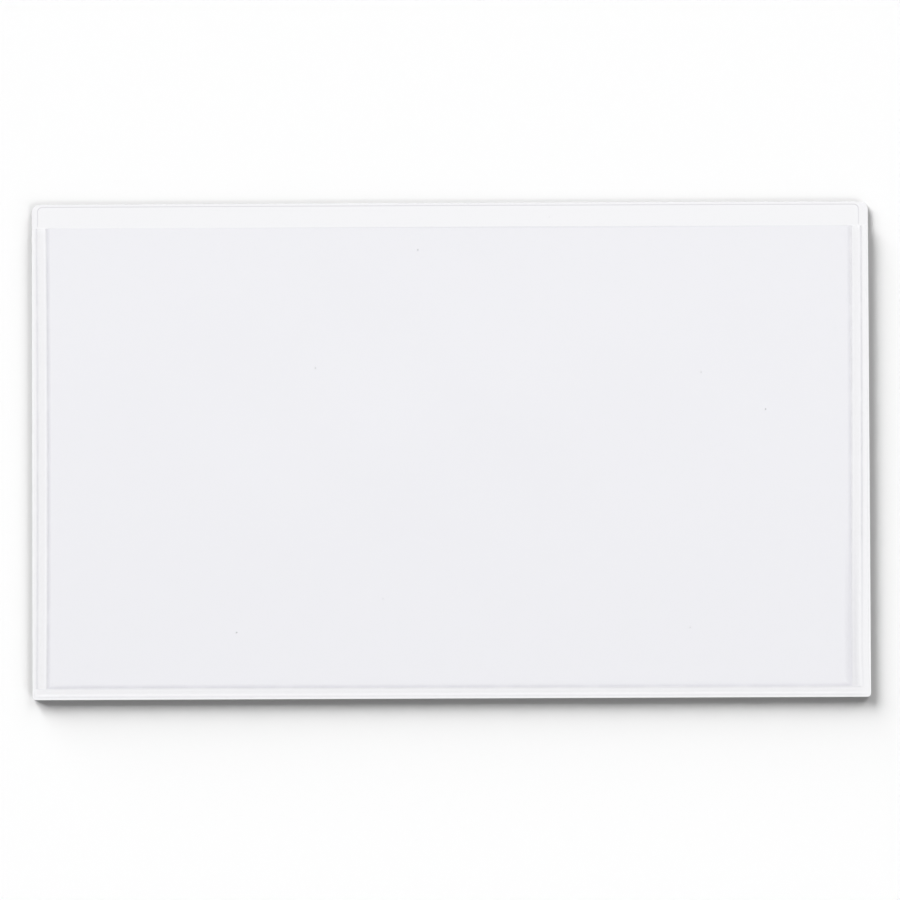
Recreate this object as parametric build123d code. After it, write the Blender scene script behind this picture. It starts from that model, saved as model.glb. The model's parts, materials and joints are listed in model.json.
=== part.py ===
from build123d import *
import math
import os

# A clear vinyl pocket sleeve for coins and small notes: a back film and a shorter front film,
# welded together along the two sides and the bottom, and open at the top.
# It lies on its back: X runs along the mouth, Y runs from the bottom weld to the lip, Z is up.
# The origin is on the table, under the middle of the outline. All lengths are in millimetres.

# Outline
sleeve_width = 133.8
sleeve_height = 79.2
lip_height = 3.9
lip_corner_radius = 1.3
base_corner_radius = 0.55
sharpest_corner = 0.05

# Films
film = 0.30
pocket_gap = 0.45
mouth_rounding = 0.10

# Trimmed edge: the die leaves it thin and sloping, and draws a fine line round the lip
tear_edge = 0.16
bevel_width = 0.30
lip_rim = 0.32
line_width = 0.20
line_depth = 0.05
line_corner_radius = 0.90

# Welds: a rim, then a pressed land between two beads of squeezed-out film
side_rim = 1.10
trim_offset = 0.30
bottom_rim = 0.50
side_land = 0.76
bottom_land = 0.46
land_depth = 0.20
land_wall = 0.14
bead_width = 0.28
bead_height = 0.10
shoulder_width = 1.50

# Bends: the lip turns just above the mouth, and the front film lifts from the bottom shoulder
bend_above_mouth = 0.60
bend_clearance = 0.07
side_clearance = 0.07

# Places worked out from the sizes above
left = -sleeve_width / 2
right = sleeve_width / 2
bottom = -sleeve_height / 2
top = sleeve_height / 2
mouth = top - lip_height
bend_line = mouth + bend_above_mouth
fused = 2 * film
panel_underside = film + pocket_gap
panel_top = panel_underside + film
bead_top = fused + bead_height
left_rim = side_rim - trim_offset
right_rim = side_rim + trim_offset


def weld_reach(rim, land):
    """Distance from the trimmed edge to the inner line of a weld."""
    return rim + land + 2 * (bead_width + land_wall)


left_inner = left + weld_reach(left_rim, side_land)
right_inner = right - weld_reach(right_rim, side_land)
bottom_inner = bottom + weld_reach(bottom_rim, bottom_land)


def block(x_range, y_range, z_range):
    """Plain block between two limits along each axis."""
    low = (x_range[0], y_range[0], z_range[0])
    size = [limits[1] - limits[0] for limits in (x_range, y_range, z_range)]
    return Pos(*low) * Box(*size, align=(Align.MIN, Align.MIN, Align.MIN))


def rounded_plate(x_range, y_range, base_radius, top_radius):
    """Flat outline between two limits, with its own corner radius at the base and at the top."""
    size = (x_range[1] - x_range[0], y_range[1] - y_range[0])
    plate = Pos(x_range[0], y_range[0]) * Rectangle(*size, align=(Align.MIN, Align.MIN))
    plate = fillet(plate.vertices().group_by(Axis.Y)[0], base_radius)
    return fillet(plate.vertices().group_by(Axis.Y)[-1], top_radius)


def trimmed_outline(inset):
    """Outline of the sleeve drawn in by an inset, with corners that tighten as it shrinks."""
    return rounded_plate(
        (left + inset, right - inset),
        (bottom + inset, top - inset),
        max(base_corner_radius - inset, sharpest_corner),
        max(lip_corner_radius - inset, sharpest_corner),
    )


def trimming_die():
    """Everything that the trimming die leaves: an upright thin edge, then a slope inwards."""
    slope = bevel_width / (fused - tear_edge)
    crown_inset = slope * (bead_top - tear_edge)
    edge = extrude(trimmed_outline(0), tear_edge)
    crown = loft(
        [Pos(0, 0, tear_edge) * trimmed_outline(0), Pos(0, 0, bead_top) * trimmed_outline(crown_inset)],
        ruled=True,
    )
    return edge + crown


def turning_film(x_range, y_range, underside):
    """Stretch of film whose lower edge is round, so that it can turn on the line where it starts."""
    flat = block(x_range, y_range, (underside, underside + film))
    middle = ((x_range[0] + x_range[1]) / 2, y_range[0], underside + film / 2)
    round_edge = Pos(*middle) * Rot(0, 90, 0) * Cylinder(film / 2, x_range[1] - x_range[0])
    return flat + round_edge


def weld_section(rim, land):
    """Section of a welded band, with its first axis inwards from the trimmed edge."""
    outer_bead = rim + bead_width
    land_start = outer_bead + land_wall
    land_end = land_start + land
    inner_bead = land_end + land_wall
    inner_line = weld_reach(rim, land)
    land_top = fused - land_depth
    outline = [
        Line((0, 0), (0, fused)),
        Line((0, fused), (rim, fused)),
        ThreePointArc((rim, fused), (rim + bead_width / 2, bead_top), (outer_bead, fused)),
        Line((outer_bead, fused), (land_start, land_top)),
        Line((land_start, land_top), (land_end, land_top)),
        Line((land_end, land_top), (inner_bead, fused)),
        ThreePointArc((inner_bead, fused), (inner_bead + bead_width / 2, bead_top), (inner_line, fused)),
        Line((inner_line, fused), (inner_line, 0)),
        Line((inner_line, 0), (0, 0)),
    ]
    return make_face(outline)


def shoulder_section(start):
    """Front film rising from a weld's inner line to the panel in two equal arcs, at one thickness."""
    end = start + shoulder_width
    arc_radius = (shoulder_width**2 + pocket_gap**2) / (4 * pocket_gap)
    steepest = math.asin(shoulder_width / 2 / arc_radius)
    upper_middle = Vector(start + shoulder_width / 2, fused + pocket_gap / 2)
    lower_middle = upper_middle + Vector(math.sin(steepest), -math.cos(steepest)) * film
    inwards, outwards = (1, 0), (-1, 0)
    outline = [
        TangentArc((start, fused), upper_middle, tangent=inwards),
        TangentArc((end, panel_top), upper_middle, tangent=outwards),
        Line((end, panel_top), (end, panel_underside)),
        TangentArc((end, panel_underside), lower_middle, tangent=outwards),
        TangentArc((start, film), lower_middle, tangent=inwards),
        Line((start, film), (start, fused)),
    ]
    return make_face(outline)


def weld(plane, length, rim, land, mitre_outline):
    """Welded band along a plane's normal, with its shoulder cut to a mitred outline."""
    band = extrude(plane * weld_section(rim, land), length) & trimming_die()
    shoulder = extrude(plane * shoulder_section(weld_reach(rim, land)), length)
    return band + (shoulder & extrude(make_face(Polyline(*mitre_outline, close=True)), panel_top))


left_seat = left_inner + shoulder_width
right_seat = right_inner - shoulder_width
bottom_seat = bottom_inner + shoulder_width
side_length = mouth - bottom_inner

left_weld = weld(
    Plane(origin=(left, mouth, 0), x_dir=(1, 0, 0), z_dir=(0, -1, 0)),
    side_length,
    left_rim,
    side_land,
    [(left_inner, bottom_inner), (left_seat, bottom_seat), (left_seat, mouth), (left_inner, mouth)],
)

right_weld = weld(
    Plane(origin=(right, bottom_inner, 0), x_dir=(-1, 0, 0), z_dir=(0, 1, 0)),
    side_length,
    right_rim,
    side_land,
    [(right_inner, bottom_inner), (right_inner, mouth), (right_seat, mouth), (right_seat, bottom_seat)],
)

bottom_weld = weld(
    Plane(origin=(left, bottom, 0), x_dir=(0, 1, 0), z_dir=(1, 0, 0)),
    sleeve_width,
    bottom_rim,
    bottom_land,
    [
        (left_inner, bottom_inner),
        (right_inner, bottom_inner),
        (right_seat, bottom_seat),
        (left_seat, bottom_seat),
    ],
)

# The die's fine line: a shallow groove that follows the rims up the sides and round the top of the lip
line_x = (left + left_rim, right - right_rim)
line_y = (bottom, top - lip_rim)
outer_line = rounded_plate(line_x, line_y, sharpest_corner, line_corner_radius)
inner_line = rounded_plate(
    (line_x[0] + line_width, line_x[1] - line_width),
    (line_y[0] - line_width, line_y[1] - line_width),
    sharpest_corner,
    max(line_corner_radius - line_width, sharpest_corner),
)
die_line = Pos(0, 0, film - line_depth) * extrude(outer_line - inner_line, line_depth)

# Back film: the pocket's floor between the welds, and a full-width strip up to the bend
strip_end = bend_line - film / 2 - bend_clearance
pocket_floor = block((left_inner, right_inner), (bottom_inner, mouth), (0, film))
strip = block((left, right), (mouth, strip_end), (0, film)) & trimming_die()
back_sheet = pocket_floor + (strip - die_line)

# Lip: the back film's free margin, turning on the bend line
lip = (turning_film((left, right), (bend_line, top), 0) & trimming_die()) - die_line

# Front film: a flat panel that turns where it leaves the bottom shoulder, with its mouth edge rounded
lift_line = bottom_seat + bend_clearance + film / 2
front_width = (left_seat + side_clearance, right_seat - side_clearance)
front_sheet = turning_film(front_width, (lift_line, mouth), panel_underside)
front_sheet = fillet(front_sheet.edges().filter_by(Axis.X).group_by(Axis.Y)[-1], mouth_rounding)

os.makedirs("parts", exist_ok=True)
export_step(back_sheet, "parts/back_sheet.step")
export_step(lip, "parts/lip.step")
export_step(front_sheet, "parts/front_sheet.step")
export_step(left_weld, "parts/left_weld.step")
export_step(right_weld, "parts/right_weld.step")
export_step(bottom_weld, "parts/bottom_weld.step")
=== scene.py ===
"""Looks of a clear vinyl pocket sleeve: its films, weld seams, finish, light and camera.

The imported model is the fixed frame. Every film is a closed thin solid worked out on a grid, and the
faces where two pieces are one piece of vinyl carry an unseen joint material, so that light runs on
through them as it does through the welded sheets.
"""

import json
import logging
import math
from dataclasses import dataclass
from enum import Enum, IntEnum
from typing import Any

import bmesh
import bpy
import numpy as np
from mathutils import Euler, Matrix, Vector


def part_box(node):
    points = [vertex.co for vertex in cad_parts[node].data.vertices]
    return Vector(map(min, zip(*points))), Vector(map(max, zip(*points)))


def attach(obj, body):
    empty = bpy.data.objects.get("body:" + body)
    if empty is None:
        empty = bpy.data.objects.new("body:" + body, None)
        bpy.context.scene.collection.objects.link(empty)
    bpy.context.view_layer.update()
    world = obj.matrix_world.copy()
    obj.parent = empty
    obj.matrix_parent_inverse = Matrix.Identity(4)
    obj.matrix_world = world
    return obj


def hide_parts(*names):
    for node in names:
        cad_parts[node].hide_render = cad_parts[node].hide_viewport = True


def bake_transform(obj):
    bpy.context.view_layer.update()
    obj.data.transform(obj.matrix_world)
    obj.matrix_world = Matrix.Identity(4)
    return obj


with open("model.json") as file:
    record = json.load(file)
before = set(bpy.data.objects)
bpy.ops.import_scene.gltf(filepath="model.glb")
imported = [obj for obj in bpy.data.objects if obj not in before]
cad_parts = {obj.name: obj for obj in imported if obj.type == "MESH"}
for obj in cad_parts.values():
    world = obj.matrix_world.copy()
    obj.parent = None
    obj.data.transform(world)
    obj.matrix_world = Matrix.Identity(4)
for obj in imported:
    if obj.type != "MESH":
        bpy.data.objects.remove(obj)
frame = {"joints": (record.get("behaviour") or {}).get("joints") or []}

Array = np.ndarray
# The frame is in metres.
MM = 0.001
# Painted shade in the welds' grooves, on the die line and at the mouth edge, kept on each point of a mesh.
PAINTED_SHADE_NAME = "crease"
# Points closer together than this are one point, in metres.
MERGE = 1e-7
# Edges that turn more than this stay sharp.
SHARP_DEG = 28.0
# Decimals that count when places in metres and numbers of steps are compared.
PLACE_DIGITS = 9
COUNT_DIGITS = 6
# The sRGB curve: bytes up to a top value, a straight start with its slope, and a power with an offset.
SRGB_TOP, SRGB_START, SRGB_SLOPE, SRGB_OFFSET, SRGB_POWER = 255, 0.04045, 12.92, 0.055, 2.4
WHITE = (1.0, 1.0, 1.0, 1.0)
# Sockets of a colour Mix node, by number: its two colours and its result.
MIX_FIRST, MIX_SECOND, MIX_RESULT = 6, 7, 2
log = logging.getLogger("sleeve")


class Face(IntEnum):
    """Material slots of a piece, and the mark of a wall that is left open.

    The slots are clear vinyl, faces where it runs on into a neighbour, and fused vinyl.
    """

    OPEN = -1
    VINYL = 0
    JOINT = 1
    FUSED = 2


class Side(Enum):
    """The two sides of the sleeve, by the sign of their X."""

    LEFT = -1
    RIGHT = 1


@dataclass(frozen=True)
class Plan:
    """Places on the sleeve in metres, read from the frame.

    The shoulder is the stretch of front film that rises from a weld's inner line to the panel.
    """

    left: float
    right: float
    bottom: float
    top: float
    mouth: float
    bend_line: float
    lift_line: float
    left_seat: float
    right_seat: float
    bottom_seat: float
    film: float
    panel_underside: float
    panel_top: float
    shoulder: float = 1.50 * MM
    mouth_round: float = 0.10 * MM

    @classmethod
    def from_frame(cls, joints: list[dict]) -> "Plan":
        """Reads the places from the CAD nodes' boxes and the joints' lines.

        Args:
            joints: the frame's joints, whose positions are the two bend lines.

        Returns:
            The plan of the sleeve.
        """
        axis_y = {joint["name"]: joint["pos_m"][1] for joint in joints}
        left_low, left_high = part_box("left_weld")
        right_low, right_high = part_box("right_weld")
        base_low, base_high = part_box("bottom_weld")
        front_low, front_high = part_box("front_sheet")
        _, lip_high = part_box("lip")
        return cls(
            left=left_low.x,
            right=right_high.x,
            bottom=base_low.y,
            top=lip_high.y,
            mouth=left_high.y,
            bend_line=axis_y["lip_flex"],
            lift_line=axis_y["mouth_lift"],
            left_seat=left_high.x,
            right_seat=right_low.x,
            bottom_seat=base_high.y,
            film=lip_high.z,
            panel_underside=front_low.z,
            panel_top=front_high.z,
        )

    @property
    def left_inner(self) -> float:
        """X of the left weld's inner line."""
        return self.left_seat - self.shoulder

    @property
    def right_inner(self) -> float:
        """X of the right weld's inner line."""
        return self.right_seat + self.shoulder

    @property
    def bottom_inner(self) -> float:
        """Y of the bottom weld's inner line."""
        return self.bottom_seat - self.shoulder

    @property
    def fused(self) -> float:
        """Height of the two films melted together."""
        return 2 * self.film

    @property
    def gap(self) -> float:
        """Free height of the pocket."""
        return self.panel_underside - self.film

    def columns(self, left_lines: list[float], right_lines: list[float], fine: float, step: float) -> Array:
        """Places along X, close together over the side welds and further apart between them.

        Args:
            left_lines: places to keep left of the left weld's inner line.
            right_lines: places to keep right of the right weld's inner line.
            fine: the largest distance over the welds.
            step: the largest distance between them.

        Returns:
            The places, each once and rising.
        """
        return np.concatenate([
            stations([*left_lines, self.left_inner], fine)[:-1],
            stations([self.left_inner, self.right_inner], step),
            stations([self.right_inner, *right_lines], fine)[1:],
        ])


def stations(knots: list[float], step: float) -> Array:
    """Rising places along a line that hold every knot and are nowhere further apart than a step.

    Args:
        knots: places that have to be kept, in any order.
        step: the largest distance between neighbours.

    Returns:
        The places, each once.
    """
    kept = np.unique(np.round(np.asarray(knots, float), PLACE_DIGITS))
    counts = np.maximum(np.ceil(np.round(np.diff(kept) / step, COUNT_DIGITS)).astype(int), 1)
    spans = [np.linspace(a, b, n, endpoint=False) for a, b, n in zip(kept[:-1], kept[1:], counts)]
    return np.concatenate([*spans, kept[-1:]])


def arc_drop(distance: Array, radius: float) -> Array:
    """How far a quarter-round of this radius falls below its flat, by distance from its edge.

    The fall is the radius less the height of the circle there, and nothing past the radius.

    Args:
        distance: distances from the edge.
        radius: the quarter-round's radius.

    Returns:
        The falls, of the distances' shape.
    """
    reach = np.clip(radius - distance, 0, radius)
    return radius - np.sqrt(radius**2 - reach**2)


def quarter_turn(rows: int) -> Array:
    """Sines of even turns from nought to a right angle, for the rows of a round corner."""
    return np.sin(np.linspace(0, np.pi / 2, rows))


def hump(offset: Array) -> Array:
    """Squared cosine over one width: one at its middle, and nought from half a width on."""
    return np.cos(np.pi * np.clip(offset, -1 / 2, 1 / 2)) ** 2


def bell(distance: Array, width: float | Array, power: int = 2) -> Array:
    """Bell curve: one at distance nought, and the exponential of less a power of the widths beyond."""
    return np.exp(-((distance / width) ** power))


@dataclass(frozen=True)
class Trim:
    """What the trimming die leaves: round corners, a thin sloping edge, and a fine line on the lip."""

    plan: Plan
    lip_corner: float = 1.30 * MM
    base_corner: float = 0.55 * MM
    tear_edge: float = 0.16 * MM
    bevel_width: float = 0.30 * MM
    left_rim: float = 0.80 * MM
    right_rim: float = 1.40 * MM
    lip_rim: float = 0.32 * MM
    line_width: float = 0.24 * MM
    line_depth: float = 0.05 * MM
    line_corner: float = 0.90 * MM
    lip_bow: float = 0.05 * MM

    @property
    def slope(self) -> float:
        """Rise of the sloping edge for each unit inwards."""
        return (self.plan.fused - self.tear_edge) / self.bevel_width

    @property
    def film_inset(self) -> float:
        """Distance from the edge at which the slope reaches the top of one film."""
        return (self.plan.film - self.tear_edge) / self.slope

    def draw_in(self, y: Array, inset: float = 0.0) -> Array:
        """How far the rows' ends draw in at the round corners, by the circle of each corner.

        Args:
            y: the rows' places.
            inset: how far inside the outline the corner lies.

        Returns:
            The distances, of y's shape.
        """
        plan = self.plan
        at_top = arc_drop(plan.top - inset - y, self.lip_corner - inset)
        at_base = arc_drop(y - plan.bottom - inset, self.base_corner - inset)
        return at_top + at_base

    def inwards(self, x: Array, y: Array) -> Array:
        """Distance inwards from the outline, a rectangle with its own corner radius at each end.

        Args:
            x: places along the mouth.
            y: places from the bottom to the lip, of the same shape.

        Returns:
            The distances, below nought outside.
        """
        plan = self.plan
        radius = np.where(y > 0, self.lip_corner, self.base_corner)
        past_x = np.abs(x - (plan.left + plan.right) / 2) - (plan.right - plan.left) / 2 + radius
        past_y = np.abs(y - (plan.bottom + plan.top) / 2) - (plan.top - plan.bottom) / 2 + radius
        outside = np.hypot(np.maximum(past_x, 0), np.maximum(past_y, 0))
        return radius - outside - np.minimum(np.maximum(past_x, past_y), 0)

    def edge_height(self, x: Array, y: Array) -> Array:
        """Height that the sloping edge allows: the tear edge, then a straight slope inwards."""
        return self.tear_edge + self.slope * np.maximum(self.inwards(x, y), 0)

    def die_line(self, x: Array, y: Array) -> Array:
        """Depth of the die's fine line: a cosine valley along the rims and round the top of the lip.

        Args:
            x: places along the mouth.
            y: places from the bottom to the lip, of the same shape.

        Returns:
            The depths, nought away from the line.
        """
        plan = self.plan
        rim = np.where(x < 0, self.left_rim, self.right_rim)
        from_side = np.where(x < 0, x - plan.left, plan.right - x) - rim
        from_top = plan.top - self.lip_rim - y
        corner = self.line_corner
        past = np.hypot(np.maximum(corner - from_side, 0), np.maximum(corner - from_top, 0))
        inside = np.minimum(np.minimum(from_side, from_top), corner) + np.minimum(corner - past, 0)
        inside = np.where((from_side < corner) & (from_top < corner), corner - past, inside)
        return self.line_depth * hump((inside - self.line_width / 2) / self.line_width)

    def bowed(self, x: Array, y: Array) -> Array:
        """Rows of the lip moved down towards its ends, as the square of the distance from the middle."""
        share = np.clip((y - self.plan.mouth) / (self.plan.top - self.plan.mouth), 0, 1)
        return y - self.lip_bow * share * (2 * x / (self.plan.right - self.plan.left)) ** 2


@dataclass(frozen=True)
class WeldProfile:
    """Section of a weld: a rim, then a pressed land between two beads of squeezed-out vinyl."""

    rim: float
    land: float
    bead_width: float = 0.28 * MM
    bead_height: float = 0.10 * MM
    land_wall: float = 0.14 * MM
    land_depth: float = 0.20 * MM
    bead_points: int = 9

    @property
    def reach(self) -> float:
        """Distance from the trimmed edge to the inner line."""
        return self.rim + self.land + 2 * (self.bead_width + self.land_wall)

    def knots(self) -> list[float]:
        """Places at which the section has to be cut, close together over the two beads.

        Returns:
            Distances inwards from the trimmed edge.
        """
        across = np.linspace(0, self.bead_width, self.bead_points)
        land_start = self.rim + self.bead_width + self.land_wall
        land = [land_start, land_start + self.land]
        return [*(self.rim + across), *land, *(self.reach - self.bead_width + across)]

    def rise(self, inset: Array, swell: Array) -> Array:
        """Height above the fused films: two cosine beads, less a land with straight walls.

        Args:
            inset: distances inwards from the trimmed edge.
            swell: factor on the beads' height, of the same shape.

        Returns:
            The heights, below nought on the land.
        """
        centres = (self.rim + self.bead_width / 2, self.reach - self.bead_width / 2)
        beads = sum(hump((inset - centre) / self.bead_width) for centre in centres)
        from_outer = inset - self.rim - self.bead_width
        from_inner = self.reach - self.bead_width - inset
        pressed = np.clip(np.minimum(from_outer, from_inner) / self.land_wall, 0, 1)
        return self.bead_height * swell * beads - self.land_depth * pressed


@dataclass(frozen=True)
class Drift:
    """How far a weld wanders inwards from its place, at the start, the middle and the end of its length.

    The rim's foot and the inner line wander separately, because the sheets creep under the bar.
    """

    rim: tuple[float, float, float]
    inner: tuple[float, float, float]

    @staticmethod
    def parabola(three: tuple[float, float, float], share: Array) -> Array:
        """Value along the length: the parabola through the start, the middle and the end.

        Args:
            three: the values at those places.
            share: places along the length, from nought to one.

        Returns:
            The values, of share's shape.
        """
        start, middle, end = three
        first = start * (1 - share) * (1 - 2 * share)
        return first + 4 * middle * share * (1 - share) + end * share * (2 * share - 1)

    def shift(
        self, profile: WeldProfile, start: float, shoulder: float, inset: Array, share: Array
    ) -> Array:
        """Shift inwards: nought at the outer line and past the shoulder, and straight lines between.

        Args:
            profile: the weld's section.
            start: inset of the outer line.
            shoulder: width of the shoulder beside it.
            inset: distances inwards from the trimmed edge.
            share: places along the weld, from nought to one, of the same shape.

        Returns:
            The shifts.
        """
        at_rim = self.parabola(self.rim, share)
        at_inner = self.parabola(self.inner, share)
        outside = at_rim * (inset - start) / (profile.rim - start)
        across = (inset - profile.rim) / (profile.reach - profile.rim)
        beside = at_inner * np.clip((profile.reach + shoulder - inset) / shoulder, 0, 1)
        within = at_rim + (at_inner - at_rim) * across
        return np.where(inset < profile.rim, outside, np.where(inset < profile.reach, within, beside))


@dataclass(frozen=True)
class Solid:
    """Thin solid between an upper and a lower grid of points, with a slot for each face.

    A wall has one slot, or a slot for each of its faces; an open one meets a neighbour's open wall.
    """

    upper: Array
    lower: Array
    # Painted shade at each point of the upper grid.
    painted_shades: Array
    upper_slots: Array
    lower_slots: Array
    wall_slots: tuple[Face | Array, Face | Array, Face | Array, Face | Array]

    def faces(self, first: int) -> tuple[Array, Array]:
        """Quads of both grids and of the four walls, all turned outwards.

        Args:
            first: index of this solid's first point in the mesh.

        Returns:
            The quads, and the material slot of each.
        """
        shape = self.upper.shape[:2]
        top = np.arange(shape[0] * shape[1]).reshape(shape) + first
        low = top + top.size
        walls = (
            (top[0, :-1], top[0, 1:], low[0, 1:], low[0, :-1]),
            (top[-1, 1:], top[-1, :-1], low[-1, :-1], low[-1, 1:]),
            (top[1:, 0], top[:-1, 0], low[:-1, 0], low[1:, 0]),
            (top[:-1, -1], top[1:, -1], low[1:, -1], low[:-1, -1]),
        )
        quads = [
            np.stack((top[:-1, :-1], top[1:, :-1], top[1:, 1:], top[:-1, 1:]), -1).reshape(-1, 4),
            np.stack((low[:-1, :-1], low[:-1, 1:], low[1:, 1:], low[1:, :-1]), -1).reshape(-1, 4),
        ]
        slots = [self.upper_slots.ravel(), self.lower_slots.ravel()]
        for wall, slot in zip(walls, self.wall_slots):
            wall_quads = np.stack(wall, -1)
            wall_slots = np.broadcast_to(np.asarray(slot, int), len(wall_quads))
            quads.append(wall_quads[wall_slots != Face.OPEN])
            slots.append(wall_slots[wall_slots != Face.OPEN])
        return np.concatenate(quads), np.concatenate(slots)


def build_piece(name: str, solids: list[Solid], materials: list[bpy.types.Material]) -> bpy.types.Object:
    """Makes one object of closed solids, with points that lie together merged.

    Args:
        name: the piece's name.
        solids: its solids, each between two grids.
        materials: the materials of its slots, in the order of Face.

    Returns:
        The linked object.
    """
    points, quads, slots, painted_shades = [], [], [], []
    count = 0
    for solid in solids:
        solid_quads, solid_slots = solid.faces(count)
        points += [solid.upper.reshape(-1, 3), solid.lower.reshape(-1, 3)]
        quads.append(solid_quads)
        slots.append(solid_slots)
        painted_shades += [solid.painted_shades.ravel(), np.zeros(solid.painted_shades.size)]
        count += 2 * solid.painted_shades.size
    mesh = bpy.data.meshes.new(name)
    mesh.from_pydata(np.concatenate(points).tolist(), [], np.concatenate(quads).tolist())
    mesh.polygons.foreach_set("material_index", np.concatenate(slots).astype(np.int32))
    # The painted shade goes on the mesh as a point attribute; the lower grid carries none.
    painted_shade_layer = mesh.attributes.new(PAINTED_SHADE_NAME, "FLOAT", "POINT")
    painted_shade_layer.data.foreach_set("value", np.concatenate(painted_shades).astype(np.float32))
    shape = bmesh.new()
    shape.from_mesh(mesh)
    bmesh.ops.remove_doubles(shape, verts=shape.verts, dist=MERGE)
    shape.to_mesh(mesh)
    shape.free()
    mesh.shade_smooth()
    mesh.set_sharp_from_angle(angle=math.radians(SHARP_DEG))
    for material in materials:
        mesh.materials.append(material)
    piece = bpy.data.objects.new(name, mesh)
    bpy.context.scene.collection.objects.link(piece)
    log.info("%s: %d faces", name, len(mesh.polygons))
    return piece


def flat_slots(shape: tuple[int, ...], slot: Face = Face.VINYL) -> Array:
    """One slot for every face of a grid with this many points each way."""
    return np.full((shape[0] - 1, shape[1] - 1), int(slot))


def middles(values: Array) -> Array:
    """Middle of each face of a grid, from the values at its points."""
    return (values[:-1, :-1] + values[1:, :-1] + values[1:, 1:] + values[:-1, 1:]) / 4


@dataclass
class BackFilm:
    """The back film: one full sheet on the table, whose free margin above the mouth is the lip."""

    plan: Plan
    trim: Trim
    step: float = 2.5 * MM
    fine: float = 0.08 * MM
    curl: float = 1.9 * MM
    curl_rows: int = 14
    corner_rows: int = 9
    # Strength of the painted shade along the die's line.
    painted_line_shade: float = 1.3

    def rows(self) -> Array:
        """Rows of the film, close together at the corners, the bend and the die's line.

        Returns:
            Their places along Y, rising.
        """
        plan, trim = self.plan, self.trim
        turn = quarter_turn(self.corner_rows)
        knots = [
            *(plan.bottom + trim.base_corner * (1 - turn)),
            plan.bottom + trim.film_inset,
            plan.bottom_inner,
            plan.mouth,
            *np.linspace(plan.bend_line, plan.bend_line + self.curl, self.curl_rows),
            *(plan.top - trim.lip_corner * (1 - turn)),
        ]
        beside_edge = stations([plan.top - 2 * trim.lip_corner, plan.top], self.fine)
        return np.union1d(stations(knots, self.step), beside_edge)

    def columns(self) -> Array:
        """Columns of the film on a straight row, close together at the sides.

        Returns:
            Their places along X, rising.
        """
        plan, inset = self.plan, self.trim.film_inset
        left_lines = [plan.left, plan.left + inset]
        return plan.columns(left_lines, [plan.right - inset, plan.right], self.fine, self.step)

    def solid(self) -> Solid:
        """Sheet of one film's thickness: rows drawn in at the corners, its edge sloping, its lip bowed.

        Returns:
            The solid, with joint faces on top where the front film is welded to it.
        """
        plan, trim = self.plan, self.trim
        column, y = np.meshgrid(self.columns(), self.rows(), indexing="ij")
        half = (plan.right - plan.left) / 2
        x = column * (half - trim.draw_in(y)) / half
        height = np.minimum(plan.film, trim.edge_height(x, y))
        above = np.clip((y - plan.mouth) / (plan.bend_line - plan.mouth), 0, 1)
        line = above * trim.die_line(x, y)
        height = height - line
        bowed = trim.bowed(x, y)
        upper = np.stack((x, bowed, height), -1)
        lower = np.stack((x, bowed, np.zeros_like(x)), -1)
        middle_x, middle_y = middles(x), middles(y)
        welded = (middle_x < plan.left_inner) | (middle_x > plan.right_inner)
        welded = (welded | (middle_y < plan.bottom_inner)) & (middle_y < plan.mouth)
        welded &= middles(trim.inwards(x, y)) > trim.film_inset
        slots = np.where(welded, int(Face.JOINT), int(Face.VINYL))
        # Painted shade along the die's line, in proportion to the line's depth.
        painted_shades = self.painted_line_shade * line / trim.line_depth
        return Solid(upper, lower, painted_shades, slots, flat_slots(x.shape), (Face.VINYL,) * 4)

    def build(self, materials: list[bpy.types.Material]) -> bpy.types.Object:
        """Makes the film and hides the CAD nodes that it takes the place of.

        Args:
            materials: the materials of the piece's slots.

        Returns:
            The finished piece.
        """
        piece = build_piece("back_film", [self.solid()], materials)
        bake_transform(piece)
        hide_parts("back_sheet", "lip")
        return piece


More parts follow.
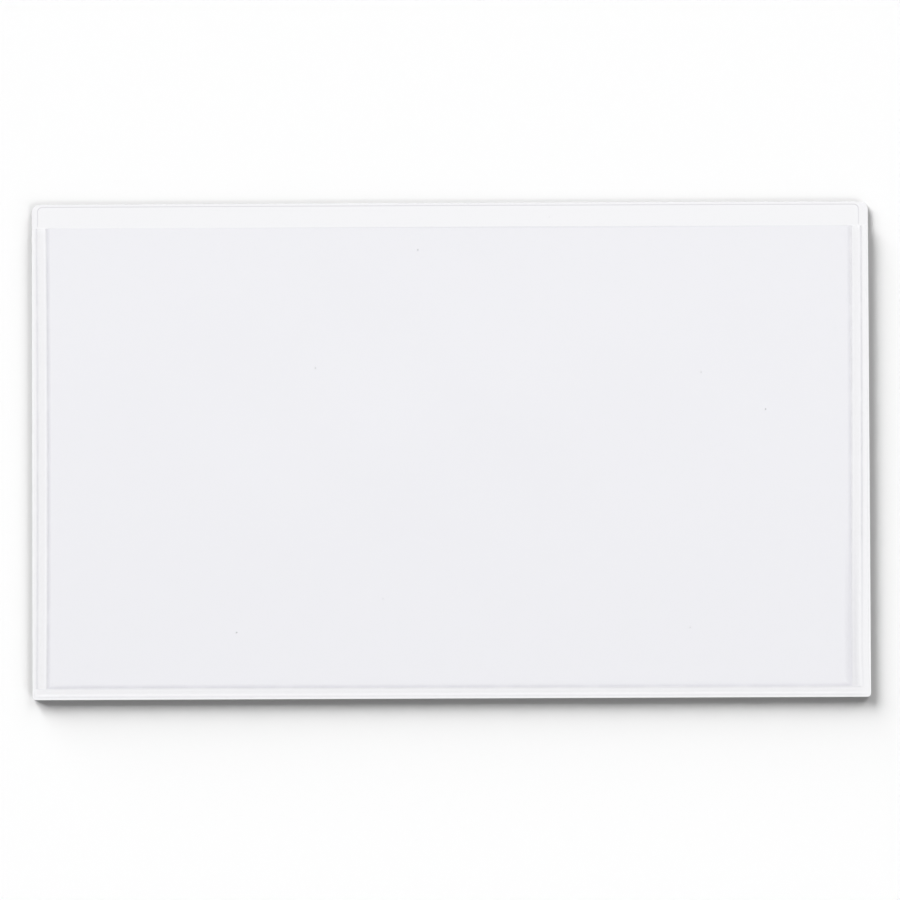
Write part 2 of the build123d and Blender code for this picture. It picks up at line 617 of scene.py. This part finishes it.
@dataclass
class Seams:
    """The three weld seams: bands of front film fused to the back film, and the shoulders beside them."""

    plan: Plan
    trim: Trim
    side_land: float = 0.76 * MM
    bottom_rim: float = 0.50 * MM
    bottom_land: float = 0.46 * MM
    step: float = 1.2 * MM
    fine: float = 0.05 * MM
    shoulder_points: int = 17
    mouth_share: float = 0.75
    round_rows: int = 5
    corner_rows: int = 7
    swell_share: float = 0.35
    swell_lengths: tuple[float, float] = (7.3 * MM, 2.9 * MM)
    swell_phase: float = 1.0
    # Painted shade in the weld's grooves: bell widths, strengths and unevenness along the weld.
    painted_shade_width: float = 0.20 * MM
    shoulder_fade: float = 0.42 * MM
    painted_rim_shade: float = 1.1
    painted_bottom_rim_shade: float = 0.35
    painted_inner_shade: float = 0.9
    painted_shade_pace: float = 0.6
    painted_shade_least: float = 0.75
    left_drift: Drift = Drift((0.0, 0.16 * MM, 0.04 * MM), (-0.04 * MM, 0.18 * MM, -0.03 * MM))
    right_drift: Drift = Drift((0.20 * MM, -0.08 * MM, -0.17 * MM), (0.22 * MM, -0.06 * MM, -0.21 * MM))
    bottom_drift: Drift = Drift((0.0, 0.0, 0.0), (0.18 * MM, 0.0, -0.12 * MM))
    drift_fade: float = 3.0 * MM
    # An even painted shade on the right seam's lower part, in place of the groove shade there.
    painted_patch_shade: float = 0.55
    painted_patch_width: float = 1.05 * MM
    painted_patch_length: float = 21 * MM
    painted_patch_power: int = 4
    painted_patch_smooth_width: float = 2.2 * MM
    # Cap on the painted shade.
    darkest: float = 0.95

    def profile(self, side: Side) -> WeldProfile:
        """Section of a side weld, with the rim that the trimming left on that side."""
        rim = self.trim.left_rim if side is Side.LEFT else self.trim.right_rim
        return WeldProfile(rim, self.side_land)

    def swell(self, along: Array) -> Array:
        """Uneven height of the beads along a weld: one, plus two slow sine waves of different length.

        Args:
            along: places along the weld.

        Returns:
            Factors on the height, of along's shape.
        """
        long_wave, short_wave = self.swell_lengths
        first = np.sin(2 * np.pi * along / long_wave)
        second = np.sin(2 * np.pi * along / short_wave + self.swell_phase)
        return 1 + self.swell_share / 2 * (first + second)

    def painted_shades(self, profile: WeldProfile, inset: Array, along: Array, painted_rim_shade: float) -> Array:
        """Painted shade where the bar's two edges press: bell curves at the rim's foot and the inner line.

        Past the inner line the bell is wider, so that the painted shade runs up the shoulder.

        Args:
            profile: the weld's section.
            inset: distances inwards from the trimmed edge.
            along: places along the weld, of the same shape.
            painted_rim_shade: how dark the painted shade at the rim's foot is.

        Returns:
            The painted shade, stronger and weaker along the weld.
        """
        from_line = inset - profile.reach
        width = np.where(from_line < 0, self.painted_shade_width, self.shoulder_fade)
        at_rim = bell(inset - profile.rim, self.painted_shade_width)
        at_line = bell(from_line, width)
        uneven = np.clip(self.swell(self.painted_shade_pace * along), self.painted_shade_least, 1)
        return uneven * (painted_rim_shade * at_rim + self.painted_inner_shade * at_line)

    def painted_patch(self, painted_shades: Array, from_line: Array, y: Array) -> Array:
        """Painted shade low on the right: one even painted shade takes the place of the groove shade.

        The painted patch and the stretch that it smooths both fade as flat-topped bell curves.

        Args:
            painted_shades: the weld's painted shade.
            from_line: distances inwards from the weld's inner line, of the same shape.
            y: places from the bottom to the mouth, of the same shape.

        Returns:
            The painted shade with the even patch.
        """
        along = bell(y - self.plan.bottom_inner, self.painted_patch_length, self.painted_patch_power)
        smooth = bell(from_line, self.painted_patch_smooth_width, self.painted_patch_power)
        across = bell(from_line, self.painted_patch_width, self.painted_patch_power)
        return painted_shades * (1 - along * smooth) + self.painted_patch_shade * along * across

    def shoulder(self) -> tuple[Array, Array, Array, Array]:
        """Section of a shoulder: two equal arcs, with the underside one film's thickness below.

        Returns:
            Inset and height of the upper line, and inset and height of the lower line.
        """
        plan = self.plan
        width, gap = plan.shoulder, plan.gap
        radius = (width**2 + gap**2) / (4 * gap)
        share = np.linspace(0, 1, self.shoulder_points)
        turn = math.asin(width / 2 / radius) * (1 - np.abs(2 * share - 1))
        across, rise = radius * np.sin(turn), radius * (1 - np.cos(turn))
        first = share <= 1 / 2
        inset = np.where(first, across, width - across)
        height = plan.fused + np.where(first, rise, gap - rise)
        return inset, height, inset + plan.film * np.sin(turn), height - plan.film * np.cos(turn)

    def along_side(self, past_line: Array) -> Array:
        """Y of a side seam's points: straight rows from the mitre with the bottom seam to the mouth.

        Args:
            past_line: each column's distance inwards from the weld's inner line.

        Returns:
            A row of places for each column, close together at the mouth.
        """
        plan = self.plan
        length = plan.mouth - plan.bottom_inner
        rounded = length - np.linspace(0, plan.mouth_round, self.round_rows)
        share = stations([0, *rounded], self.step) / length
        start = plan.bottom_inner + np.maximum(past_line, 0)[:, None]
        return start + share * (plan.mouth - start)

    def side_solid(self, side: Side) -> Solid:
        """Side seam: the section of band and shoulder, carried from the bottom seam to the mouth.

        Args:
            side: which side of the sleeve.

        Returns:
            The solid, joined to its neighbours by unseen faces.
        """
        plan, trim = self.plan, self.trim
        profile = self.profile(side)
        edge = plan.left if side is Side.LEFT else plan.right
        band = stations([trim.film_inset, trim.bevel_width, *profile.knots()], self.fine)
        upper_inset, upper_height, lower_inset, lower_height = (line[1:] for line in self.shoulder())
        inset_line = np.append(band, profile.reach + upper_inset)
        low_line = np.append(band, profile.reach + lower_inset)
        y = self.along_side(inset_line - profile.reach)
        low_y = self.along_side(low_line - profile.reach)
        inset = np.broadcast_to(inset_line[:, None], y.shape)
        low_inset = np.broadcast_to(low_line[:, None], y.shape)
        x = edge - side.value * inset
        # The outermost column ends on the back film's own slope.
        level = np.minimum(plan.fused + profile.rise(inset, self.swell(y)), trim.edge_height(x, y))
        level[0] = plan.film
        level[band.size :] = upper_height[:, None]
        floor = np.full_like(y, plan.film)
        floor[band.size :] = lower_height[:, None]
        fall = arc_drop(plan.mouth - y, plan.mouth_round)
        level -= np.minimum(fall, self.mouth_share * (level - plan.film))
        floor[band.size :] += fall[band.size :]
        upper = np.stack((x - side.value * self.side_wander(side, inset, y), y, level), -1)
        lower = np.stack((edge - side.value * low_inset, low_y, floor), -1)
        # Painted shade in the grooves, with an even painted patch low on the right, capped.
        painted_shades = self.painted_shades(profile, inset, y, self.painted_rim_shade)
        if side is Side.RIGHT:
            painted_shades = self.painted_patch(painted_shades, inset - profile.reach, y)
        painted_shades = np.minimum(painted_shades, self.darkest)
        middle = middles(inset)
        pressed = (middle > trim.bevel_width) & (middle < profile.reach)
        over = np.where(pressed, int(Face.FUSED), int(Face.VINYL))
        under = np.where(middle < profile.reach, int(Face.JOINT), int(Face.VINYL))
        grids = [upper, lower, painted_shades, over, under]
        if side is Side.RIGHT:
            grids = [grid[::-1] for grid in grids]
        return Solid(*grids, (Face.JOINT, Face.JOINT, Face.JOINT, Face.VINYL))

    def side_wander(self, side: Side, inset: Array, y: Array) -> Array:
        """Shift of a side seam's lines, faded out towards the bottom seam.

        Args:
            side: which side of the sleeve.
            inset: distances inwards from the trimmed edge.
            y: places from the bottom to the mouth, of the same shape.

        Returns:
            The shifts inwards.
        """
        plan = self.plan
        drift = self.left_drift if side is Side.LEFT else self.right_drift
        from_end = y - plan.bottom_inner
        share = from_end / (plan.mouth - plan.bottom_inner)
        fade = 1 - bell(from_end, self.drift_fade)
        return fade * drift.shift(self.profile(side), self.trim.film_inset, plan.shoulder, inset, share)

    def bottom_columns(self) -> Array:
        """Columns of the bottom band, close together where the side seams stand on it.

        Returns:
            Their places along X, rising.
        """
        plan, trim = self.plan, self.trim
        left_lines = [plan.left + trim.film_inset, plan.left + trim.bevel_width]
        right_lines = [plan.right - trim.bevel_width, plan.right - trim.film_inset]
        return plan.columns(left_lines, right_lines, self.fine, self.step)

    def bottom_band(self, profile: WeldProfile, line: Array) -> Solid:
        """Band of the bottom seam: its section carried over the full width, drawn in at the round corners.

        Args:
            profile: the weld's section.
            line: places of the columns.

        Returns:
            The solid, open where the shoulder rises from it.
        """
        plan, trim = self.plan, self.trim
        turn = quarter_turn(self.corner_rows)
        corner = trim.film_inset + (trim.base_corner - trim.film_inset) * (1 - turn)
        rows = stations([trim.film_inset, trim.bevel_width, *corner, *profile.knots()], self.fine)
        column, inset = np.meshgrid(line, rows, indexing="ij")
        y = plan.bottom + inset
        half = (plan.right - plan.left) / 2 - trim.film_inset
        x = column * (half - trim.draw_in(y, trim.film_inset)) / half
        from_end = np.where(x < 0, x - plan.left - trim.left_rim, plan.right - trim.right_rim - x)
        inside = np.clip(from_end / profile.bead_width, 0, 1)
        level = plan.fused + inside * profile.rise(inset, self.swell(x))
        level = np.maximum(np.minimum(level, trim.edge_height(x, y)), plan.film)
        level[0] = level[-1] = level[:, 0] = plan.film
        sloping = middles(trim.inwards(x, y)) < trim.bevel_width
        middle = (line[:-1] + line[1:]) / 2
        beside_shoulder = (middle > plan.left_inner) & (middle < plan.right_inner)
        inner_wall = np.where(beside_shoulder, int(Face.OPEN), int(Face.JOINT))
        # The upper grid carries painted shade in the grooves, faded in towards the ends.
        return Solid(
            np.stack((x, y + self.bottom_wander(profile, inset, x), level), -1),
            np.stack((x, y, np.full_like(x, plan.film)), -1),
            inside * self.painted_shades(profile, inset, x, self.painted_bottom_rim_shade),
            np.where(sloping, int(Face.VINYL), int(Face.FUSED)),
            flat_slots(x.shape, Face.JOINT),
            (Face.JOINT, Face.JOINT, Face.JOINT, inner_wall),
        )

    def bottom_shoulder(self, profile: WeldProfile, line: Array) -> Solid:
        """Shoulder of the bottom seam: its section carried between the mitres, up to the lift line.

        Args:
            profile: the weld's section.
            line: places of the band's columns.

        Returns:
            The solid, open where it rises from the band.
        """
        plan = self.plan
        between = line[(line > plan.left_inner - MERGE) & (line < plan.right_inner + MERGE)]
        share = ((between - plan.left_inner) / (plan.right_inner - plan.left_inner))[:, None]
        end = plan.lift_line - plan.bottom_inner
        upper_inset, upper_height, lower_inset, lower_height = self.shoulder()
        grids = []
        for offset, height in (
            (np.append(upper_inset, end), np.append(upper_height, plan.panel_top)),
            (np.append(lower_inset, end), np.append(lower_height, plan.panel_underside)),
        ):
            mitre = np.minimum(offset, plan.shoulder)
            x = plan.left_inner + mitre + share * (plan.right_inner - plan.left_inner - 2 * mitre)
            y = np.broadcast_to(plan.bottom_inner + offset, x.shape)
            grids.append(np.stack((x, y, np.broadcast_to(height, x.shape)), -1))
        upper, lower = grids
        x, inset = upper[..., 0], upper[..., 1] - plan.bottom
        # Painted shade in the groove at the inner line, running up the shoulder.
        painted_shades = self.painted_shades(profile, inset, x, self.painted_bottom_rim_shade)
        upper[..., 1] += self.bottom_wander(profile, inset, x)
        slots = flat_slots(x.shape)
        return Solid(upper, lower, painted_shades, slots, slots, (Face.JOINT, Face.JOINT, Face.OPEN, Face.JOINT))

    def bottom_wander(self, profile: WeldProfile, inset: Array, x: Array) -> Array:
        """Shift of the bottom seam's lines, faded out towards the two side seams.

        Args:
            profile: the weld's section.
            inset: distances inwards from the trimmed edge.
            x: places along the seam, of the same shape.

        Returns:
            The shifts towards the mouth.
        """
        plan = self.plan
        share = (x - plan.left_inner) / (plan.right_inner - plan.left_inner)
        from_end = np.maximum(np.minimum(x - plan.left_inner, plan.right_inner - x), 0)
        fade = 1 - bell(from_end, self.drift_fade)
        return fade * self.bottom_drift.shift(profile, self.trim.film_inset, plan.shoulder, inset, share)

    def build(self, materials: list[bpy.types.Material]) -> list[bpy.types.Object]:
        """Makes the three seams, which stay with the sleeve.

        Args:
            materials: the materials of the pieces' slots.

        Returns:
            The finished pieces.
        """
        profile = WeldProfile(self.bottom_rim, self.bottom_land)
        line = self.bottom_columns()
        bottom = [self.bottom_band(profile, line), self.bottom_shoulder(profile, line)]
        made = {
            "left_weld": build_piece("left_seam", [self.side_solid(Side.LEFT)], materials),
            "right_weld": build_piece("right_seam", [self.side_solid(Side.RIGHT)], materials),
            "bottom_weld": build_piece("bottom_seam", bottom, materials),
        }
        for node, piece in made.items():
            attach(piece, "sleeve")
            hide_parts(node)
        return list(made.values())


@dataclass(frozen=True)
class Wave:
    """A slow wave in a lying film: its height, its length, its phase and how it runs along X and Y."""

    height: float
    length: float
    phase: float
    along_x: float
    along_y: float

    def at(self, x: Array, y: Array) -> Array:
        """Height at places on the film: the sine of the distance along the wave."""
        distance = self.along_x * x + self.along_y * y
        return self.height * np.sin(2 * np.pi * distance / self.length + self.phase)


@dataclass
class FrontFilm:
    """The front film between the shoulders, in two halves that meet in the middle."""

    plan: Plan
    step: float = 1.6 * MM
    round_rows: int = 6
    waves: tuple[Wave, ...] = (
        Wave(height=0.11 * MM, length=71 * MM, phase=0.0, along_x=1.0, along_y=0.4),
        Wave(height=0.11 * MM, length=43 * MM, phase=2.0, along_x=0.5, along_y=-1.0),
        Wave(height=0.055 * MM, length=29 * MM, phase=4.0, along_x=1.0, along_y=1.0),
    )
    # Painted shade along the mouth's cut edge, uneven along its length.
    painted_edge_shade: float = 0.5
    edge_width: float = 0.22 * MM
    edge_reach: float = 0.66 * MM
    edge_rows: int = 9
    edge_start: float = -20 * MM
    edge_length: float = 130 * MM
    edge_mean: float = 0.45
    edge_swing: float = 0.55

    def lift(self, x: Array, y: Array) -> Array:
        """Slight unevenness of the film: crossing sine waves, faded out towards the welds.

        Args:
            x: places along the mouth.
            y: places from the bottom to the mouth, of the same shape.

        Returns:
            Heights to add to the flat film.
        """
        plan = self.plan
        width = plan.right_seat - plan.left_seat
        across = np.sin(np.pi * np.clip((x - plan.left_seat) / width, 0, 1))
        along = np.clip((y - plan.lift_line) / (plan.mouth - plan.lift_line), 0, 1)
        fade = across * np.sin(np.pi / 2 * along)
        return fade * sum(wave.at(x, y) for wave in self.waves)

    def painted_mouth_shade(self, x: Array, y: Array) -> Array:
        """Painted shade along the cut edge: a bell curve inwards from the mouth, with a slow sine along it.

        Args:
            x: places along the mouth.
            y: places from the bottom to the mouth, of the same shape.

        Returns:
            The painted shade.
        """
        wave = np.sin(2 * np.pi * (x - self.edge_start) / self.edge_length)
        uneven = np.clip(self.edge_mean + self.edge_swing * wave, 0, 1)
        return self.painted_edge_shade * uneven * bell(self.plan.mouth - y, self.edge_width)

    def solid(self, side: Side) -> Solid:
        """Half of the film: a flat sheet with slight waves and a rounded mouth edge.

        Args:
            side: which half.

        Returns:
            The solid, joined to its neighbours by unseen faces.
        """
        plan = self.plan
        ends = (plan.left_seat, 0.0) if side is Side.LEFT else (0.0, plan.right_seat)
        rounded = plan.mouth - np.linspace(0, plan.mouth_round, self.round_rows)
        beside = plan.mouth - np.linspace(0, self.edge_reach, self.edge_rows)
        rows = stations([plan.lift_line, *beside, *rounded], self.step)
        x, y = np.meshgrid(stations(list(ends), self.step), rows, indexing="ij")
        lift = self.lift(x, y)
        fall = arc_drop(plan.mouth - y, plan.mouth_round)
        upper = np.stack((x, y, plan.panel_top + lift - fall), -1)
        lower = np.stack((x, y, plan.panel_underside + lift + fall), -1)
        slots = flat_slots(x.shape)
        walls = (Face.JOINT, Face.JOINT, Face.JOINT, Face.VINYL)
        # The upper grid carries the painted shade of the mouth edge.
        return Solid(upper, lower, self.painted_mouth_shade(x, y), slots, slots, walls)

    def build(self, materials: list[bpy.types.Material]) -> list[bpy.types.Object]:
        """Makes the two halves, each still at its side weld and lifting towards the middle.

        Args:
            materials: the materials of the pieces' slots.

        Returns:
            The finished pieces.
        """
        made = []
        for name, side in (("front_film_left", Side.LEFT), ("front_film_right", Side.RIGHT)):
            piece = build_piece(name, [self.solid(side)], materials)
            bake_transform(piece)
            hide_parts("front_sheet")
            made.append(piece)
        return made


def linear(colour: str) -> tuple[float, float, float, float]:
    """Linear colour of an sRGB hex value, by the sRGB curve: straight near black, and a power above.

    Args:
        colour: six hex digits after a hash sign.

    Returns:
        Red, green, blue, and an alpha of one.
    """
    parts = np.array(list(bytes.fromhex(colour[1:]))) / SRGB_TOP
    curved = ((parts + SRGB_OFFSET) / (1 + SRGB_OFFSET)) ** SRGB_POWER
    lit = np.where(parts <= SRGB_START, parts / SRGB_SLOPE, curved)
    return (*lit.tolist(), 1.0)


def add_node(
    tree: bpy.types.NodeTree,
    kind: str,
    values: dict[str | int, Any] | None = None,
    links: dict[str | int, bpy.types.NodeSocket] | None = None,
    **settings: Any,
) -> bpy.types.Node:
    """Adds a node to a tree, with its settings, its plain inputs and its links.

    Args:
        tree: the node tree.
        kind: the node's Blender type.
        values: input name or number to plain value.
        links: input name or number to the output that feeds it.
        **settings: the node's own properties.

    Returns:
        The node.
    """
    node = tree.nodes.new(kind)
    for name, value in settings.items():
        setattr(node, name, value)
    for name, value in (values or {}).items():
        node.inputs[name].default_value = value
    for name, output in (links or {}).items():
        tree.links.new(output, node.inputs[name])
    return node


def new_tree(material: bpy.types.Material | bpy.types.World) -> bpy.types.NodeTree:
    """Empties the node tree of a material or a world.

    Args:
        material: the material or the world.

    Returns:
        Its tree.
    """
    material.use_nodes = True
    material.node_tree.nodes.clear()
    return material.node_tree


@dataclass(frozen=True)
class CalenderedVinyl:
    """Soft clear vinyl rolled between polished rolls: glossy, faintly violet, with a fine orange peel.

    Plasticised vinyl bends light a little more than window glass, and its rolled surface is not quite
    flat, so that reflections waver. Lamps pass it with some loss, which leaves a soft shadow.
    """

    name: str = "calendered_clear_vinyl"
    tint: str = "#FAFAFC"
    # Darker tint that the painted shade mixes into the vinyl.
    painted_shade_tint: str = "#D8D7DD"
    dust_tint: str = "#B0B0B4"
    lamp_share: str = "#404042"
    ior: float = 1.53
    clearness: float = 1.0
    roughness: float = 0.05
    peel_size: float = 1.8 * MM
    peel_height: float = 0.004 * MM
    peel_detail: float = 2.0
    dust_spacing: float = 6 * MM
    dust_radius: float = 0.12 * MM
    dust_layer: float = 40.0
    dust_share: float = 0.32

    def dust(self, tree: bpy.types.NodeTree, place: bpy.types.NodeSocket) -> bpy.types.NodeSocket:
        """Few fine specks of dust: balls round some of a cell pattern's points, cut by the film.

        Args:
            tree: the node tree.
            place: Object coordinates.

        Returns:
            One on a speck and nought elsewhere.
        """
        spread = add_node(tree, "ShaderNodeMapping", {"Scale": (1, 1, self.dust_layer)}, {"Vector": place})
        cells = add_node(
            tree,
            "ShaderNodeTexVoronoi",
            {"Scale": 1 / self.dust_spacing},
            {"Vector": spread.outputs[0]},
        )
        limits = {"Distance": self.dust_radius / self.dust_spacing, "Color": self.dust_share}
        near, kept = (
            add_node(tree, "ShaderNodeMath", {1: limit}, {0: cells.outputs[name]}, operation="LESS_THAN")
            for name, limit in limits.items()
        )
        both = add_node(
            tree, "ShaderNodeMath", links={0: near.outputs[0], 1: kept.outputs[0]}, operation="MULTIPLY"
        )
        return both.outputs[0]

    def build(self) -> bpy.types.Material:
        """Makes the material.

        Returns:
            The material, with its peel and dust on Object coordinates.
        """
        material = bpy.data.materials.new(self.name)
        tree = new_tree(material)
        place = add_node(tree, "ShaderNodeTexCoord")
        peel = add_node(
            tree,
            "ShaderNodeTexNoise",
            {"Scale": 1 / self.peel_size, "Detail": self.peel_detail},
            {"Vector": place.outputs["Object"]},
        )
        bump = add_node(
            tree,
            "ShaderNodeBump",
            {"Strength": 1.0, "Distance": self.peel_height},
            {"Height": peel.outputs["Fac"]},
        )
        # Painted shade: the mesh's attribute mixes the darker tint into the vinyl's colour.
        crease = add_node(tree, "ShaderNodeAttribute", attribute_name=PAINTED_SHADE_NAME)
        painted_shade_mix = add_node(
            tree,
            "ShaderNodeMix",
            {MIX_FIRST: linear(self.tint), MIX_SECOND: linear(self.painted_shade_tint)},
            {0: crease.outputs["Fac"]},
            data_type="RGBA",
        )
        dusty = add_node(
            tree,
            "ShaderNodeMix",
            {MIX_SECOND: linear(self.dust_tint)},
            {0: self.dust(tree, place.outputs["Object"]), MIX_FIRST: painted_shade_mix.outputs[MIX_RESULT]},
            data_type="RGBA",
        )
        vinyl = add_node(
            tree,
            "ShaderNodeBsdfPrincipled",
            {"Roughness": self.roughness, "IOR": self.ior, "Transmission Weight": self.clearness},
            {"Base Color": dusty.outputs[MIX_RESULT], "Normal": bump.outputs["Normal"]},
        )
        passing = add_node(tree, "ShaderNodeBsdfTransparent", {"Color": linear(self.lamp_share)})
        path = add_node(tree, "ShaderNodeLightPath")
        mixed = add_node(
            tree,
            "ShaderNodeMixShader",
            links={0: path.outputs["Is Shadow Ray"], 1: vinyl.outputs[0], 2: passing.outputs[0]},
        )
        add_node(tree, "ShaderNodeOutputMaterial", links={"Surface": mixed.outputs[0]})
        return material


@dataclass(frozen=True)
class HeatFusedVinyl(CalenderedVinyl):
    """The same vinyl where heat has melted two films into one.

    Heat leaves it a little cloudy, so that the pressed relief catches the light.
    """

    name: str = "heat_fused_clear_vinyl"
    tint: str = "#FBFBFD"
    clearness: float = 0.95
    roughness: float = 0.12


@dataclass(frozen=True)
class FusedJoint:
    """Where two pieces are one piece of melted vinyl there is no surface, so nothing is seen."""

    name: str = "fused_vinyl_joint"

    def build(self) -> bpy.types.Material:
        """Makes the joint's material, which lets all light through.

        Returns:
            The material.
        """
        material = bpy.data.materials.new(self.name)
        tree = new_tree(material)
        unseen = add_node(tree, "ShaderNodeBsdfTransparent", {"Color": WHITE})
        add_node(tree, "ShaderNodeOutputMaterial", links={"Surface": unseen.outputs[0]})
        return material


@dataclass(frozen=True)
class Lamp:
    """A far softbox: where it stands, counted from +X, how wide it looks, and its light on the floor.

    It is flagged off, as a studio does with clear goods, so that the vinyl mirrors only the room.
    """

    name: str
    azimuth_deg: float
    elevation_deg: float
    width_deg: float
    floor_share: float

    def build(self) -> bpy.types.Object:
        """Makes the lamp as parallel light, strong enough to give its share on a level floor.

        Returns:
            The lamp, turned towards the origin.
        """
        light = bpy.data.lights.new(self.name, "SUN")
        light.angle = math.radians(self.width_deg)
        light.energy = self.floor_share * math.pi / math.sin(math.radians(self.elevation_deg))
        lamp = bpy.data.objects.new(self.name, light)
        tilt = math.pi / 2 - math.radians(self.elevation_deg)
        turn = math.pi / 2 + math.radians(self.azimuth_deg)
        lamp.rotation_euler = Euler((tilt, 0, turn))
        lamp.visible_glossy = False
        lamp.visible_transmission = False
        bpy.context.scene.collection.objects.link(lamp)
        return lamp


@dataclass(frozen=True)
class Studio:
    """White table, dim grey room and four far softboxes; the sleeve is seen against plain white."""

    floor_colour: str = "#FDFDFD"
    floor_size: float = 3.0
    floor_drop: float = 0.02 * MM
    pale_half: float = 0.52
    dim_half: float = 0.06
    half_blend: float = 0.12
    horizon: float = 0.80
    horizon_height: float = 0.5
    room_share: float = 0.05
    lamps: tuple[Lamp, ...] = (
        Lamp("key_softbox", azimuth_deg=118, elevation_deg=9, width_deg=16, floor_share=0.325),
        Lamp("left_softbox", azimuth_deg=142, elevation_deg=10, width_deg=18, floor_share=0.325),
        Lamp("side_softbox", azimuth_deg=55, elevation_deg=14, width_deg=20, floor_share=0.155),
        Lamp("fill_softbox", azimuth_deg=-45, elevation_deg=16, width_deg=22, floor_share=0.178),
    )

    def white_for(self, tree: bpy.types.NodeTree, kinds: tuple[str, ...]) -> bpy.types.NodeSocket:
        """Sum of the Light Path outputs for rays that see plain white.

        Args:
            tree: the node tree.
            kinds: names of the Light Path outputs.

        Returns:
            The sum's output.
        """
        path = add_node(tree, "ShaderNodeLightPath")
        total = path.outputs[kinds[0]]
        for kind in kinds[1:]:
            joined = add_node(
                tree, "ShaderNodeMath", links={0: total, 1: path.outputs[kind]}, operation="MAXIMUM"
            )
            total = joined.outputs[0]
        return total

    def build_floor(self) -> bpy.types.Object:
        """Makes the table: white to the eye, with the sleeve's shadow, and plain white through vinyl.

        Returns:
            The floor, marked as stage.
        """
        half = self.floor_size / 2
        corners = np.array([(-1, -1), (1, -1), (1, 1), (-1, 1)]) * half
        points = np.column_stack((corners, np.full(4, -self.floor_drop)))
        mesh = bpy.data.meshes.new("table")
        mesh.from_pydata(points.tolist(), [], [(0, 1, 2, 3)])
        material = bpy.data.materials.new("white_table")
        tree = new_tree(material)
        plain = add_node(tree, "ShaderNodeBsdfDiffuse", {"Color": linear(self.floor_colour)})
        seen = add_node(tree, "ShaderNodeEmission", {"Color": linear(self.floor_colour), "Strength": 1.0})
        through = self.white_for(tree, ("Is Transmission Ray", "Is Glossy Ray"))
        mixed = add_node(
            tree, "ShaderNodeMixShader", links={0: through, 1: plain.outputs[0], 2: seen.outputs[0]}
        )
        add_node(tree, "ShaderNodeOutputMaterial", links={"Surface": mixed.outputs[0]})
        mesh.materials.append(material)
        floor = bpy.data.objects.new("table", mesh)
        bpy.context.scene.collection.objects.link(floor)
        return floor

    def build_room(self) -> bpy.types.World:
        """Makes the room: paler on the far side and towards the horizon, and white to the eye.

        Returns:
            The world.
        """
        world = bpy.data.worlds.new("studio_room")
        bpy.context.scene.world = world
        tree = new_tree(world)
        way = add_node(tree, "ShaderNodeTexCoord")
        parts = add_node(tree, "ShaderNodeSeparateXYZ", links={0: way.outputs["Generated"]})
        half = add_node(
            tree,
            "ShaderNodeMapRange",
            {
                "From Min": -self.half_blend,
                "From Max": self.half_blend,
                "To Min": self.dim_half,
                "To Max": self.pale_half,
            },
            {"Value": parts.outputs["Y"]},
            interpolation_type="SMOOTHSTEP",
        )
        low = add_node(
            tree,
            "ShaderNodeMapRange",
            {"From Min": 0.0, "From Max": self.horizon_height, "To Min": self.horizon, "To Max": 0.0},
            {"Value": parts.outputs["Z"]},
        )
        both = add_node(
            tree, "ShaderNodeMath", links={0: half.outputs[0], 1: low.outputs[0]}, operation="ADD"
        )
        path = add_node(tree, "ShaderNodeLightPath")
        lit = add_node(
            tree,
            "ShaderNodeMapRange",
            {"To Min": 1.0, "To Max": self.room_share},
            {"Value": path.outputs["Is Diffuse Ray"]},
        )
        level = add_node(
            tree, "ShaderNodeMath", links={0: both.outputs[0], 1: lit.outputs[0]}, operation="MULTIPLY"
        )
        room = add_node(
            tree, "ShaderNodeBackground", {"Color": WHITE}, {"Strength": level.outputs[0]}
        )
        white = add_node(tree, "ShaderNodeBackground", {"Color": WHITE, "Strength": 1.0})
        seen = self.white_for(tree, ("Is Camera Ray", "Is Transmission Ray"))
        mixed = add_node(
            tree, "ShaderNodeMixShader", links={0: seen, 1: room.outputs[0], 2: white.outputs[0]}
        )
        add_node(tree, "ShaderNodeOutputWorld", links={"Surface": mixed.outputs[0]})
        return world

    def build(self) -> None:
        """Makes the floor, the room and the lamps."""
        self.build_floor()
        self.build_room()
        for lamp in self.lamps:
            lamp.build()
            log.info("%s: %.3f of the floor's light", lamp.name, lamp.floor_share)


@dataclass(frozen=True)
class Viewpoint:
    """The photograph's view: nearly straight down, through a long lens, a hair askew."""

    frame_width: float = 143.9 * MM
    lens_mm: float = 90.0
    sensor_mm: float = 36.0
    lean_deg: float = 0.8
    roll_deg: float = -0.24
    aim: tuple[float, float] = (-0.15 * MM, 0.05 * MM)

    def build(self) -> bpy.types.Object:
        """Makes the camera and gives it to the scene.

        Returns:
            The camera.
        """
        data = bpy.data.cameras.new("camera")
        data.lens = self.lens_mm
        data.sensor_width = self.sensor_mm
        camera = bpy.data.objects.new("camera", data)
        lean = math.radians(self.lean_deg)
        away = self.frame_width * self.lens_mm / self.sensor_mm
        camera.location = Vector((self.aim[0], self.aim[1] - away * math.sin(lean), away * math.cos(lean)))
        camera.rotation_euler = Euler((lean, 0, math.radians(self.roll_deg)))
        bpy.context.scene.collection.objects.link(camera)
        bpy.context.scene.camera = camera
        return camera


def main() -> None:
    """Builds the sleeve, its studio and its camera."""
    logging.basicConfig(level=logging.INFO, format="%(name)s: %(message)s")
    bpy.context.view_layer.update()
    plan = Plan.from_frame(frame["joints"])
    trim = Trim(plan)
    materials = [finish.build() for finish in (CalenderedVinyl(), FusedJoint(), HeatFusedVinyl())]
    BackFilm(plan, trim).build(materials)
    Seams(plan, trim).build(materials)
    FrontFilm(plan).build(materials)
    Studio().build()
    Viewpoint().build()
    scene = bpy.context.scene
    scene.view_settings.view_transform = "Standard"
    scene.cycles.caustics_refractive = False
    scene.cycles.caustics_reflective = False


if __name__ == "__main__":
    main()
